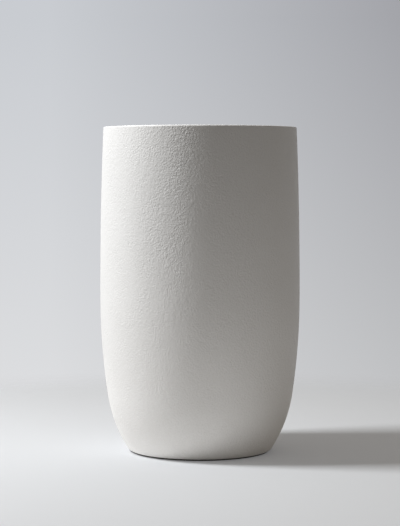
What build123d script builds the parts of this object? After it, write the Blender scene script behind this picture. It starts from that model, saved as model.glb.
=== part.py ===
from build123d import *

import math
import os

# Tall round vessel of spun sheet metal, in millimetres, standing on z = 0 about the Z axis

# Outside shape of the coated wall
height = 600.0
rim_diameter = 357.0
belly_diameter = 370.0
belly_height = 287.0
lower_wall_arc = 1247.0
heel_height = 106.0
foot_diameter = 264.3

# Coated sheet and the turn under the foot
sheet = 1.5
foot_bend = 4.0
foot_flange = 20.0

# Wired rim
wire_diameter = 2.6
wire_clearance = 0.1
curl_angle = 270.0

# Strip behind the girth joint
band_height = 30.0
band_thickness = 1.5
band_clearance = 0.2

# Pressed floor disc and its bead of sealant
plate_thickness = 1.5
plate_clearance = 0.5
plate_dish = 1.0
bead_leg = 4.0
bead_clearance = 0.3
drain_diameter = 20.0

# Ring that the vessel stands on
ring_height = 2.5
ring_width = 14.0
ring_inset = 2.0

# Drain plug
plug_clearance = 0.3
plug_taper = 0.4
plug_overlap = 6.0
plug_head = 3.0
plug_floor_gap = 1.0
seat_margin = 3.0
grip_neck_diameter = 8.0
grip_diameter = 14.0
grip_height = 14.0
grip_round = 3.0


def along(centre, radius, angle):
    """The point at an angle on a circle, in the plane of radius and height."""
    return centre + Vector(radius * math.cos(angle), radius * math.sin(angle))


def tangent_radius(start, inward, end):
    """Radius of the arc that leaves start square to inward and reaches end."""
    chord = end - start
    return chord.dot(chord) / (2 * chord.dot(inward))


def corner_angle(centre, radius, corner_radius, corner_height):
    """Angle at which a round corner at a known height touches the arc from inside."""
    return math.asin((corner_height - centre.Y) / (radius - corner_radius))


# Upper wall, one arc that is upright at the girth
belly_radius = belly_diameter / 2
girth = Vector(belly_radius, belly_height)
rim = Vector(rim_diameter / 2, height)
upper_arc = tangent_radius(girth, Vector(-1, 0), rim)
upper_centre = girth - Vector(upper_arc, 0)

# Rolled edge at the rim
curl_radius = wire_diameter / 2 + wire_clearance + sheet
curl_height = height - curl_radius
curl_start = corner_angle(upper_centre, upper_arc, curl_radius, curl_height)
curl_centre = along(upper_centre, upper_arc - curl_radius, curl_start)

# Lower wall, a long arc and then a tighter one round the heel
lower_centre = girth - Vector(lower_wall_arc, 0)
heel_angle = -math.asin((belly_height - heel_height) / lower_wall_arc)
heel = along(lower_centre, lower_wall_arc, heel_angle)
heel_inward = along(Vector(0, 0), -1, heel_angle)
heel_arc = tangent_radius(heel, heel_inward, Vector(foot_diameter / 2, ring_height))
heel_centre = heel + heel_inward * heel_arc

# Turn from the wall to the flange under the foot
bend_radius = foot_bend + sheet
bend_height = ring_height + bend_radius
bend_angle = corner_angle(heel_centre, heel_arc, bend_radius, bend_height)
bend_centre = along(heel_centre, heel_arc - bend_radius, bend_angle)
flange_inside = bend_centre.X - foot_flange

# Inner face of the wall from the foot up, as the top, centre and radius of each arc
inside_arcs = [
    (along(bend_centre, foot_bend, bend_angle).Y, bend_centre, foot_bend),
    (along(lower_centre, lower_wall_arc - sheet, heel_angle).Y, heel_centre, heel_arc - sheet),
    (belly_height, lower_centre, lower_wall_arc - sheet),
    (height, upper_centre, upper_arc - sheet),
]


def inside_radius(level):
    """Radius of the wall's inner face at a height."""
    for top, centre, radius in inside_arcs:
        if level <= top:
            reach = math.sqrt(radius**2 - (level - centre.Y) ** 2)
            return centre.X + math.copysign(reach, radius)


def upper_side(depth):
    """Draws the upper wall and its curl at a depth under the outer face."""
    tip = along(curl_centre, curl_radius - depth, curl_start)
    wall = TangentArc((belly_radius - depth, belly_height), tip, tangent=(0, 1))
    return JernArc(wall @ 1, wall % 1, curl_radius - depth, curl_angle)


def lower_side(depth):
    """Draws the lower wall down to the flange at a depth under the outer face."""
    heel_point = along(lower_centre, lower_wall_arc - depth, heel_angle)
    bend_point = along(bend_centre, bend_radius - depth, bend_angle)
    wall = TangentArc((belly_radius - depth, belly_height), heel_point, tangent=(0, -1))
    turn = TangentArc(wall @ 1, bend_point, tangent=wall % 1)
    level = ring_height + depth
    bend = TangentArc(turn @ 1, (bend_centre.X, level), tangent=turn % 1)
    return Line(bend @ 1, (flange_inside, level))


# Upper half of the wall, its top edge rolled inward round the wire
with BuildPart() as upper_shell:
    with BuildSketch(Plane.XZ):
        with BuildLine():
            outer_edge = upper_side(0)
            inner_edge = upper_side(sheet)
            Line(outer_edge @ 1, inner_edge @ 1)
            Line((belly_radius, belly_height), (belly_radius - sheet, belly_height))
        make_face()
    revolve(axis=Axis.Z)

# Lower half of the wall, turned in to a flat flange at the foot
with BuildPart() as lower_shell:
    with BuildSketch(Plane.XZ):
        with BuildLine():
            outer_edge = lower_side(0)
            inner_edge = lower_side(sheet)
            Line(outer_edge @ 1, inner_edge @ 1)
            Line((belly_radius, belly_height), (belly_radius - sheet, belly_height))
        make_face()
    revolve(axis=Axis.Z)

# Strip spot-welded behind the butt joint of the two halves
band_bottom = belly_height - band_height / 2
band_top = belly_height + band_height / 2
band_radius = min(inside_radius(band_bottom), inside_radius(band_top)) - band_clearance
with BuildPart() as girth_band:
    with BuildSketch(Plane.XY.offset(band_bottom)):
        Circle(band_radius)
        Circle(band_radius - band_thickness, mode=Mode.SUBTRACT)
    extrude(amount=band_height)

# Wire inside the rolled rim
with BuildPart() as rim_wire:
    with BuildSketch(Plane.XZ):
        with Locations(curl_centre):
            Circle(wire_diameter / 2)
    revolve(axis=Axis.Z)

# Floor disc, seated on the flange and dished to the drain
plate_seat = ring_height + sheet
plate_radius = bend_centre.X - plate_clearance
drain_radius = drain_diameter / 2
plug_head_radius = drain_radius + plug_overlap
with BuildPart() as base_plate:
    with BuildSketch(Plane.XZ):
        with BuildLine():
            underside = Polyline(
                (drain_radius, plate_seat - plate_dish),
                (plug_head_radius + seat_margin, plate_seat - plate_dish),
                (flange_inside, plate_seat),
                (plate_radius, plate_seat),
            )
            topside = Polyline(
                (drain_radius, plate_seat - plate_dish + plate_thickness),
                (plug_head_radius + seat_margin, plate_seat - plate_dish + plate_thickness),
                (flange_inside, plate_seat + plate_thickness),
                (plate_radius, plate_seat + plate_thickness),
            )
            Line(underside @ 0, topside @ 0)
            Line(underside @ 1, topside @ 1)
        make_face()
    revolve(axis=Axis.Z)

# Bead of sealant in the corner between the floor disc and the wall
bead_bottom = plate_seat + plate_thickness
bead_top = bead_bottom + bead_leg
bead_low = (inside_radius(bead_bottom) - bead_clearance, bead_bottom)
bead_high = (inside_radius(bead_top) - bead_clearance, bead_top)
with BuildPart() as base_seal:
    with BuildSketch(Plane.XZ):
        with BuildLine():
            Polyline(bead_low, bead_high, (plate_radius - bead_leg, bead_bottom), close=True)
        make_face()
    revolve(axis=Axis.Z)

# Ring under the flange, set back from the edge of the foot
ring_radius = bend_centre.X - ring_inset
with BuildPart() as foot_ring:
    with BuildSketch():
        Circle(ring_radius)
        Circle(ring_radius - ring_width, mode=Mode.SUBTRACT)
    extrude(amount=ring_height)

# Bung that closes the drain from inside, with a knob to pull it by
plug_seat = plate_seat - plate_dish + plate_thickness
shank_radius = drain_radius - plug_clearance
head_top = plug_seat + plug_head
with BuildPart() as drain_plug:
    with BuildSketch(Plane.XZ):
        with BuildLine():
            Polyline(
                (0, plug_floor_gap),
                (shank_radius - plug_taper, plug_floor_gap),
                (shank_radius, plug_seat),
                (plug_head_radius, plug_seat),
                (plug_head_radius, head_top),
                (grip_neck_diameter / 2, head_top),
                (grip_diameter / 2, head_top + grip_height),
                (0, head_top + grip_height),
                close=True,
            )
        make_face()
    revolve(axis=Axis.Z)
    fillet(drain_plug.edges().group_by(Axis.Z)[-1], grip_round)

pieces = {
    "upper_shell": upper_shell,
    "lower_shell": lower_shell,
    "girth_band": girth_band,
    "rim_wire": rim_wire,
    "base_plate": base_plate,
    "base_seal": base_seal,
    "foot_ring": foot_ring,
    "drain_plug": drain_plug,
}

os.makedirs("parts", exist_ok=True)
for name, piece in pieces.items():
    piece.part.label = name
    export_step(piece.part, f"parts/{name}.step")
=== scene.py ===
import math

import bpy
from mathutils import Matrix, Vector, noise


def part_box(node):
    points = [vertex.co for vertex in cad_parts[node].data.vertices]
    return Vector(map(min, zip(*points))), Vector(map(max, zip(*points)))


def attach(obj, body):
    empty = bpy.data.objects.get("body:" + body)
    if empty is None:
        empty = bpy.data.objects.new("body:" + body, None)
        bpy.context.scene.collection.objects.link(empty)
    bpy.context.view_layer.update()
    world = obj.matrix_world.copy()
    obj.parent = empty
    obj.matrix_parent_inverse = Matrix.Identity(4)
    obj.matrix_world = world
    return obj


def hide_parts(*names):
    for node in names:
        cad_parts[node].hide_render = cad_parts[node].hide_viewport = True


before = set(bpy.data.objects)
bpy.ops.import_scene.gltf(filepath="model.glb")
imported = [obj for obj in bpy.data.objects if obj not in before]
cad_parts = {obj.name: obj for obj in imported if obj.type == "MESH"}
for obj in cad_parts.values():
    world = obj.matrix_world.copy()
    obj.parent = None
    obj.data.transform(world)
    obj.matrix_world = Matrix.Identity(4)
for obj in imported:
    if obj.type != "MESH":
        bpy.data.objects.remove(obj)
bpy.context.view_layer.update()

# Shape of the coated wall in metres, the same as the solids
girth_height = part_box("upper_shell")[0].z
belly_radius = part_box("upper_shell")[1].x
rim_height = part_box("upper_shell")[1].z
foot_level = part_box("lower_shell")[0].z
rim_radius = 0.1785
lower_wall_arc = 1.247
heel_height = 0.106
foot_radius = 0.13215
sheet = 0.0015
foot_bend = 0.004
foot_flange = 0.02
curl_radius = 0.0029
curl_turn = math.radians(270)

# Fineness of the meshes: faces all round, and steps along the section in metres
around = 520
grain_step = 0.0022
corner_step = 0.001
inside_step = 0.012
flange_step = 0.005
same_point = 1e-7
crease_angle = math.radians(50)

# Relief of the coat in metres, always inward from the solids' face
mean_depth = 0.0002
stipple_depth = 0.00018
pit_depth = 0.0001
ring_depth = 0.000015
joint_ring_depth = 0.00003
joint_ring_rise = 0.022
joint_ring_spread = 0.009
fine_grain_depth = 0.00048

# Share of the relief that is left on the crown of the rim
crown_relief = 0.25

# Noise cells per metre, and offsets that keep the noises apart
patch_cells = (20, 45)
stipple_cells = (140, 215)
stipple_offset = Vector((7, 3, 5))
pit_cells = 180
pit_offset = Vector((11, 17, 2))
ring_cells = (90, 210)
ring_stretch = 0.4
joint_ring_cells = 120
joint_ring_offset = Vector((0, 0, 9))


def set_inputs(node, values):
    """Sets a node's sockets by name."""
    for name, value in values.items():
        node.inputs[name].default_value = value


def new_material(name):
    """A material with nothing but its output and a principled shader."""
    material = bpy.data.materials.new(name)
    material.use_nodes = True
    tree = material.node_tree
    return material, tree, tree.nodes["Principled BSDF"]


def axes_of(tree, kind):
    """X, Y and Z of a kind of coordinates, each as its own value."""
    place = tree.nodes.new("ShaderNodeTexCoord")
    split = tree.nodes.new("ShaderNodeSeparateXYZ")
    tree.links.new(place.outputs[kind], split.inputs["Vector"])
    return split.outputs


def noise_node(tree, scale, detail=2.0, roughness=0.5, stretch=(1, 1, 1)):
    """Noise in the piece's own coordinates, stretched along its axes."""
    place = tree.nodes.new("ShaderNodeTexCoord")
    mapping = tree.nodes.new("ShaderNodeMapping")
    texture = tree.nodes.new("ShaderNodeTexNoise")
    mapping.inputs["Scale"].default_value = stretch
    set_inputs(texture, {"Scale": scale, "Detail": detail, "Roughness": roughness})
    tree.links.new(place.outputs["Object"], mapping.inputs["Vector"])
    tree.links.new(mapping.outputs["Vector"], texture.inputs["Vector"])
    return texture.outputs["Fac"]


def ramp_node(tree, source, stops):
    """Colours along a value, as (place, colour) stops."""
    ramp = tree.nodes.new("ShaderNodeValToRGB")
    elements = ramp.color_ramp.elements
    for element, (place, colour) in zip(elements, stops, strict=True):
        element.position = place
        element.color = (*colour, 1)
    tree.links.new(source, ramp.inputs["Fac"])
    return ramp.outputs["Color"]


def range_node(tree, source, low, high, to_low, to_high):
    """A value carried from one range to another and held at its ends."""
    node = tree.nodes.new("ShaderNodeMapRange")
    set_inputs(node, {"From Min": low, "From Max": high, "To Min": to_low, "To Max": to_high})
    tree.links.new(source, node.inputs["Value"])
    return node.outputs["Result"]


def join_node(tree, kind, first, second, share=None):
    """Two colours joined by a kind of blend, fully or by a share."""
    node = tree.nodes.new("ShaderNodeMix")
    node.data_type = "RGBA"
    node.blend_type = kind
    node.inputs[0].default_value = 1.0
    if share is not None:
        tree.links.new(share, node.inputs[0])
    tree.links.new(first, node.inputs[6])
    tree.links.new(second, node.inputs[7])
    return node.outputs[2]


def math_node(tree, kind, first, second):
    """Two values joined by a kind of sum, such as MULTIPLY."""
    node = tree.nodes.new("ShaderNodeMath")
    node.operation = kind
    tree.links.new(first, node.inputs[0])
    tree.links.new(second, node.inputs[1])
    return node.outputs[0]


def mix_shaders(tree, share, first, second):
    """The first shader where the share is 0, and the second where it is 1."""
    node = tree.nodes.new("ShaderNodeMixShader")
    tree.links.new(share, node.inputs[0])
    tree.links.new(first.outputs[0], node.inputs[1])
    tree.links.new(second.outputs[0], node.inputs[2])
    return node.outputs[0]


def bump_node(tree, height, distance, below=None):
    """Fine relief over the mesh, laid on another bump if there is one."""
    node = tree.nodes.new("ShaderNodeBump")
    set_inputs(node, {"Distance": distance})
    tree.links.new(height, node.inputs["Height"])
    if below is not None:
        tree.links.new(below, node.inputs["Normal"])
    return node.outputs["Normal"]


def coat_material():
    """Off-white mineral coat with a soft sheen and a fine sprayed grain that fades at the rim."""
    material, tree, shader = new_material("mineral_coat")
    set_inputs(shader, {"Specular IOR Level": 0.5})
    clouds = ramp_node(
        tree,
        noise_node(tree, 9, 3),
        [(0.3, (0.803, 0.799, 0.793)), (0.7, (0.826, 0.823, 0.818))],
    )
    speckle = ramp_node(
        tree,
        noise_node(tree, 420, 3, 0.6),
        [(0.3, (0.955, 0.952, 0.948)), (0.6, (1, 1, 1))],
    )
    tree.links.new(join_node(tree, "MULTIPLY", clouds, speckle), shader.inputs["Base Color"])
    gloss = range_node(tree, noise_node(tree, 260, 2), 0.3, 0.7, 0.45, 0.58)
    tree.links.new(gloss, shader.inputs["Roughness"])
    patches = range_node(tree, noise_node(tree, 30, 2), 0.35, 0.65, 0.6, 1.4)
    dots = range_node(tree, noise_node(tree, 330, 0), 0, 1, -0.5, 0.5)
    level = axes_of(tree, "Object")["Z"]
    crown = range_node(tree, level, rim_height - curl_radius, rim_height, 1, crown_relief)
    relief = math_node(tree, "MULTIPLY", math_node(tree, "MULTIPLY", dots, patches), crown)
    tree.links.new(bump_node(tree, relief, fine_grain_depth), shader.inputs["Normal"])
    material.cycles.use_bump_map_correction = False
    return material


def lining_material():
    """Sealing paint inside, smoother than the coat, with faint turning marks."""
    material, tree, shader = new_material("sealed_lining")
    set_inputs(shader, {"Specular IOR Level": 0.35})
    clouds = ramp_node(
        tree,
        noise_node(tree, 6, 4, 0.6, (1, 1, 2)),
        [(0.3, (0.70, 0.69, 0.67)), (0.7, (0.745, 0.735, 0.72))],
    )
    tree.links.new(clouds, shader.inputs["Base Color"])
    gloss = range_node(tree, noise_node(tree, 60, 2), 0.3, 0.7, 0.6, 0.75)
    tree.links.new(gloss, shader.inputs["Roughness"])
    rings = bump_node(tree, noise_node(tree, 40, 2, 0.5, (0.05, 0.05, 6)), 0.0002)
    grain = bump_node(tree, noise_node(tree, 500, 2), 0.00008, below=rings)
    tree.links.new(grain, shader.inputs["Normal"])
    return material


def steel_material():
    """Drawn wire."""
    material, tree, shader = new_material("drawn_wire")
    set_inputs(shader, {"Metallic": 1.0})
    tint = ramp_node(
        tree, noise_node(tree, 200, 2), [(0.3, (0.5, 0.5, 0.5)), (0.7, (0.6, 0.6, 0.59))]
    )
    tree.links.new(tint, shader.inputs["Base Color"])
    gloss = range_node(tree, noise_node(tree, 300, 2), 0.3, 0.7, 0.35, 0.5)
    tree.links.new(gloss, shader.inputs["Roughness"])
    return material


def soft_material(name, dark, light, rough, grain, depth):
    """Rubber or sealant between two colours, with its own grain."""
    material, tree, shader = new_material(name)
    set_inputs(shader, {"Specular IOR Level": 0.4})
    tint = ramp_node(tree, noise_node(tree, grain / 8, 3), [(0.35, dark), (0.65, light)])
    tree.links.new(tint, shader.inputs["Base Color"])
    gloss = range_node(tree, noise_node(tree, grain / 2, 2), 0.3, 0.7, rough - 0.06, rough + 0.06)
    tree.links.new(gloss, shader.inputs["Roughness"])
    relief = bump_node(tree, noise_node(tree, grain, 2), depth)
    tree.links.new(relief, shader.inputs["Normal"])
    return material


coat = coat_material()
lining = lining_material()
wire_steel = steel_material()
sealant = soft_material(
    "sealant", (0.5, 0.49, 0.47), (0.56, 0.55, 0.53), rough=0.45, grain=260, depth=0.0001
)
foot_rubber = soft_material(
    "foot_rubber", (0.06, 0.055, 0.048), (0.085, 0.079, 0.07), rough=0.8, grain=700, depth=0.0001
)
plug_rubber = soft_material(
    "plug_rubber", (0.045, 0.042, 0.04), (0.06, 0.057, 0.053), rough=0.62, grain=900, depth=0.00006
)


def along(centre, radius, angle):
    """The point at an angle on a circle, in the plane of radius and height."""
    return centre + Vector((radius * math.cos(angle), radius * math.sin(angle)))


def tangent_radius(start, inward, end):
    """Radius of the arc that leaves start square to inward and reaches end."""
    chord = end - start
    return chord.dot(chord) / (2 * chord.dot(inward))


def corner_angle(centre, radius, corner_radius, corner_height):
    """Angle at which a round corner at a known height touches the arc from inside."""
    return math.asin((corner_height - centre.y) / (radius - corner_radius))


# Upper wall and the curl at the rim
girth = Vector((belly_radius, girth_height))
upper_arc = tangent_radius(girth, Vector((-1, 0)), Vector((rim_radius, rim_height)))
upper_centre = girth - Vector((upper_arc, 0))
curl_start = corner_angle(upper_centre, upper_arc, curl_radius, rim_height - curl_radius)
curl_centre = along(upper_centre, upper_arc - curl_radius, curl_start)

# Lower wall, the heel and the turn under the foot
lower_centre = girth - Vector((lower_wall_arc, 0))
heel_angle = -math.asin((girth_height - heel_height) / lower_wall_arc)
heel = along(lower_centre, lower_wall_arc, heel_angle)
heel_inward = along(Vector((0, 0)), -1, heel_angle)
heel_arc = tangent_radius(heel, heel_inward, Vector((foot_radius, foot_level)))
heel_centre = heel + heel_inward * heel_arc
bend_radius = foot_bend + sheet
bend_angle = corner_angle(heel_centre, heel_arc, bend_radius, foot_level + bend_radius)
bend_centre = along(heel_centre, heel_arc - bend_radius, bend_angle)
flange_inside = bend_centre.x - foot_flange


class Profile:
    """A closed section of the sheet.

    Each row holds a radius, a height, the direction in which the face looks, whether it is
    coated and the share of the relief that it takes.
    """

    def __init__(self):
        self.rows = []

    def add(self, point, direction, coated, relief):
        """Adds a row, unless it stands where the last one does."""
        if self.rows and (Vector(self.rows[-1][:2]) - point).length < same_point:
            return
        self.rows.append((point.x, point.y, direction.x, direction.y, coated, relief))

    def arc(self, centre, radius, start, end, step, coated=True, side=1, relief=(1, 1)):
        """Adds rows along an arc. side is 1 where the face looks away from the arc's centre."""
        count = max(2, round(abs(radius * (end - start)) / step))
        for i in range(count + 1):
            share = i / count
            angle = start + (end - start) * share
            direction = along(Vector((0, 0)), side, angle)
            depth = relief[0] + (relief[1] - relief[0]) * share
            self.add(along(centre, radius, angle), direction, coated, depth)

    def inside_arc(self, centre, radius, start, end, step):
        """Adds rows along an arc on the inner face of the sheet, which has no coat."""
        self.arc(centre, radius, start, end, step, coated=False, side=-1, relief=(0, 0))

    def line(self, start, end, step, direction, coated):
        """Adds rows along a straight run with no relief."""
        count = max(1, round((end - start).length / step))
        for i in range(count + 1):
            self.add(start.lerp(end, i / count), direction, coated, 0)


def upper_profile():
    """The upper wall's section, from the girth up, round the curl and down inside."""
    section = Profile()
    crown = curl_start + math.pi / 2
    curl_end = curl_start + curl_turn
    section.arc(upper_centre, upper_arc, 0, curl_start, grain_step)
    section.arc(curl_centre, curl_radius, curl_start, crown, corner_step, relief=(1, crown_relief))
    section.arc(curl_centre, curl_radius, crown, curl_end, corner_step, relief=(crown_relief, 0))
    section.inside_arc(curl_centre, curl_radius - sheet, curl_end, curl_start, corner_step)
    section.inside_arc(upper_centre, upper_arc - sheet, curl_start, 0, inside_step)
    return section.rows


def lower_profile():
    """The lower wall's section, from the girth down, round the foot and up inside."""
    section = Profile()
    down = Vector((0, -1))
    up = Vector((0, 1))
    quarter = -math.pi / 2
    inner = Vector((0, sheet))
    flange_end = Vector((flange_inside, foot_level))
    bend_end = Vector((bend_centre.x, foot_level))
    section.arc(lower_centre, lower_wall_arc, 0, heel_angle, grain_step)
    section.arc(heel_centre, heel_arc, heel_angle, bend_angle, grain_step)
    section.arc(bend_centre, bend_radius, bend_angle, quarter, corner_step, relief=(1, 0))
    section.line(bend_end, flange_end, flange_step, down, True)
    section.line(flange_end + inner, bend_end + inner, flange_step, up, False)
    section.inside_arc(bend_centre, foot_bend, quarter, bend_angle, corner_step)
    section.inside_arc(heel_centre, heel_arc - sheet, bend_angle, heel_angle, inside_step)
    section.inside_arc(lower_centre, lower_wall_arc - sheet, heel_angle, 0, inside_step)
    return section.rows


def smooth_step(value, low, high):
    """0 below low, 1 above high and smooth between them."""
    share = min(1.0, max(0.0, (value - low) / (high - low)))
    return share * share * (3 - 2 * share)


def relief_at(x, y, z):
    """Depth of the coat's face under the solids' face: stipple, sparse pits and turning rings."""
    place = Vector((x, y, z))
    patch = 1 + 0.5 * noise.noise(place * patch_cells[0]) + 0.3 * noise.noise(place * patch_cells[1])
    coarse = noise.noise(place * stipple_cells[0])
    fine = noise.noise(place * stipple_cells[1] + stipple_offset)
    grain = 0.5 * coarse + 0.9 * fine
    pit = smooth_step(noise.noise(place * pit_cells + pit_offset), 0.3, 0.6)
    level = Vector((ring_stretch * x, ring_stretch * y, z))
    ring = noise.noise(level * ring_cells[0]) + 0.6 * noise.noise(level * ring_cells[1])
    joint = math.exp(-(((z - girth_height - joint_ring_rise) / joint_ring_spread) ** 2))
    joint *= noise.noise(level * joint_ring_cells + joint_ring_offset)
    depth = mean_depth - stipple_depth * grain * patch + pit_depth * pit
    return max(0, depth - ring_depth * ring - joint_ring_depth * joint)


def turned_mesh(name, rows, body, node):
    """Turns a section about the Z axis, lays the coat's relief on it and hands it to the frame."""
    angles = [2 * math.pi * k / around for k in range(around)]
    directions = [(math.cos(angle), math.sin(angle)) for angle in angles]
    verts = []
    for radius, level, out, rise, _, share in rows:
        for cosine, sine in directions:
            depth = share * relief_at(radius * cosine, radius * sine, level) if share else 0
            reach = radius - depth * out
            verts.append((reach * cosine, reach * sine, level - depth * rise))
    faces = []
    coated = []
    for i, row in enumerate(rows):
        j = (i + 1) % len(rows)
        for k in range(around):
            m = (k + 1) % around
            faces.append((i * around + k, i * around + m, j * around + m, j * around + k))
            coated.append(row[4] and rows[j][4])
    mesh = bpy.data.meshes.new(name)
    mesh.from_pydata(verts, [], faces)
    mesh.materials.append(coat)
    mesh.materials.append(lining)
    for face, outside in zip(mesh.polygons, coated):
        face.use_smooth = True
        face.material_index = 0 if outside else 1
    mesh.validate()
    mesh.set_sharp_from_angle(angle=crease_angle)
    piece = bpy.data.objects.new(name, mesh)
    bpy.context.scene.collection.objects.link(piece)
    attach(piece, body)
    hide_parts(node)


turned_mesh("upper_wall", upper_profile(), "vessel", "upper_shell")
turned_mesh("lower_wall", lower_profile(), "vessel", "lower_shell")

# Finishes of the solids that show as they are
finishes = {
    "girth_band": lining,
    "base_plate": lining,
    "rim_wire": wire_steel,
    "base_seal": sealant,
    "foot_ring": foot_rubber,
    "drain_plug": plug_rubber,
}
for node, finish in finishes.items():
    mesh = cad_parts[node].data
    mesh.materials.clear()
    mesh.materials.append(finish)

# Camera, as fitted to the photograph: focal length in pixels of its 400 x 526 frame
image_height = 526
focal_pixels = 1718.9
sensor_size = 36
camera_distance = 3.186
camera_height = 0.5183
camera_tilt = math.radians(3.05)
camera_reach = 100

camera_data = bpy.data.cameras.new("camera")
camera_data.sensor_width = sensor_size
camera_data.lens = focal_pixels / image_height * sensor_size
camera_data.clip_end = camera_reach
camera = bpy.data.objects.new("camera", camera_data)
camera.location = (0, -camera_distance, camera_height)
camera.rotation_euler = (math.pi / 2 - camera_tilt, 0, 0)
bpy.context.scene.collection.objects.link(camera)
bpy.context.scene.camera = camera

lamp_colour = (0.985, 0.995, 1)


def area_light(name, azimuth, distance, level, size, power):
    """A soft square light, its azimuth measured from the camera towards the left."""
    data = bpy.data.lights.new(name, "AREA")
    data.shape = "SQUARE"
    data.size = size
    data.energy = power
    data.color = lamp_colour
    light = bpy.data.objects.new(name, data)
    turn = math.radians(azimuth)
    place = Vector((-math.sin(turn) * distance, -math.cos(turn) * distance, level))
    light.location = place
    aim = Vector((0, 0, rim_height / 2)) - place
    light.rotation_euler = aim.to_track_quat("-Z", "Y").to_euler()
    light.visible_camera = False
    bpy.context.scene.collection.objects.link(light)


area_light("key", azimuth=86.5, distance=1.5, level=2.2, size=0.5, power=64)
area_light("low_side", azimuth=90, distance=5.0, level=0.41, size=0.5, power=30)

# Backdrop colours seen by the camera, in linear light, and the part of the view that they span
# These corners are painted light and shade: lighter to the left and low down, darker to the right
# and up top, as if the key light fell across the backdrop from the left.
backdrop_left_top = (0.584, 0.604, 0.638)
backdrop_right_top = (0.366, 0.371, 0.397)
backdrop_left_low = (0.723, 0.730, 0.745)
backdrop_right_low = (0.539, 0.546, 0.558)
backdrop_side_reach = (-0.087, 0.116)
backdrop_rise_reach = (-0.132, 0.088)

# Light of the surroundings from above, from behind and from the right
dark = (0, 0, 0)
light_above = (0.335, 0.305, 0.27)
light_behind = (0.185, 0.17, 0.15)
light_right = (0.05, 0.045, 0.039)


def painted_backdrop_light(tree, axes):
    """The backdrop's painted light and shade between its four corners: lighter to the left and low
    down, darker to the right and up top.
    """
    sideways = range_node(tree, axes["X"], *backdrop_side_reach, 0, 1)
    upward = range_node(tree, axes["Z"], *backdrop_rise_reach, 0, 1)
    low_row = ramp_node(tree, sideways, [(0, backdrop_left_low), (1, backdrop_right_low)])
    top_row = ramp_node(tree, sideways, [(0, backdrop_left_top), (1, backdrop_right_top)])
    return join_node(tree, "MIX", low_row, top_row, upward)


def surrounding_colour(tree, axes):
    """The light that falls on the object from above, from behind and from the right."""
    above = ramp_node(tree, axes["Z"], [(0, dark), (1, light_above)])
    behind = ramp_node(tree, axes["Y"], [(0, dark), (1, light_behind)])
    right = ramp_node(tree, axes["X"], [(0, dark), (1, light_right)])
    return join_node(tree, "ADD", above, join_node(tree, "ADD", behind, right))


def world_light():
    """Soft surroundings, with a pale painted gradient of light and shade where the camera looks past
    the object.
    """
    world = bpy.data.worlds.new("studio")
    bpy.context.scene.world = world
    world.cycles.sampling_method = "NONE"
    world.use_nodes = True
    tree = world.node_tree
    nodes, links = tree.nodes, tree.links
    nodes.clear()
    axes = axes_of(tree, "Generated")
    seen = nodes.new("ShaderNodeBackground")
    links.new(painted_backdrop_light(tree, axes), seen.inputs["Color"])
    even = nodes.new("ShaderNodeBackground")
    links.new(surrounding_colour(tree, axes), even.inputs["Color"])
    rays = nodes.new("ShaderNodeLightPath").outputs
    mirrored = math_node(tree, "MAXIMUM", rays["Is Camera Ray"], rays["Is Glossy Ray"])
    direct = math_node(tree, "MAXIMUM", mirrored, rays["Is Transmission Ray"])
    out = nodes.new("ShaderNodeOutputWorld")
    links.new(mix_shaders(tree, direct, even, seen), out.inputs["Surface"])


world_light()

# Floor, a pale disc that fades into the backdrop towards its edge, with the paint that
# lights the object and the paint and glow that the camera sees
floor_sides = 96
floor_fade_start = 0.7
floor_radius = 1.3
floor_colour = (0.85, 0.85, 0.85)
floor_colour_seen = (0.578, 0.592, 0.611)
floor_glow_seen = (0.09, 0.092, 0.096)


def floor_paint():
    """Flat paint that turns clear towards the floor's edge."""
    material, tree, shader = new_material("floor_paint")
    set_inputs(shader, {"Roughness": 1.0, "Specular IOR Level": 0.0, "Emission Strength": 1.0})
    seen = tree.nodes.new("ShaderNodeLightPath").outputs["Is Camera Ray"]
    paint = ramp_node(tree, seen, [(0, floor_colour), (1, floor_colour_seen)])
    glow = ramp_node(tree, seen, [(0, dark), (1, floor_glow_seen)])
    tree.links.new(paint, shader.inputs["Base Color"])
    tree.links.new(glow, shader.inputs["Emission Color"])
    place = tree.nodes.new("ShaderNodeTexCoord")
    reach = tree.nodes.new("ShaderNodeVectorMath")
    reach.operation = "LENGTH"
    tree.links.new(place.outputs["Object"], reach.inputs[0])
    fade = range_node(tree, reach.outputs["Value"], floor_fade_start, floor_radius, 0, 1)
    fade.node.interpolation_type = "SMOOTHSTEP"
    clear = tree.nodes.new("ShaderNodeBsdfTransparent")
    surface = tree.nodes["Material Output"].inputs["Surface"]
    tree.links.new(mix_shaders(tree, fade, shader, clear), surface)
    return material


def make_floor():
    """A pale floor that keeps the shadow."""
    mesh = bpy.data.meshes.new("floor")
    turns = [2 * math.pi * k / floor_sides for k in range(floor_sides)]
    corners = [(floor_radius * math.cos(a), floor_radius * math.sin(a), 0) for a in turns]
    mesh.from_pydata(corners, [], [range(floor_sides)])
    mesh.materials.append(floor_paint())
    floor = bpy.data.objects.new("floor", mesh)
    bpy.context.scene.collection.objects.link(floor)


make_floor()

bpy.context.scene.view_settings.view_transform = "Standard"
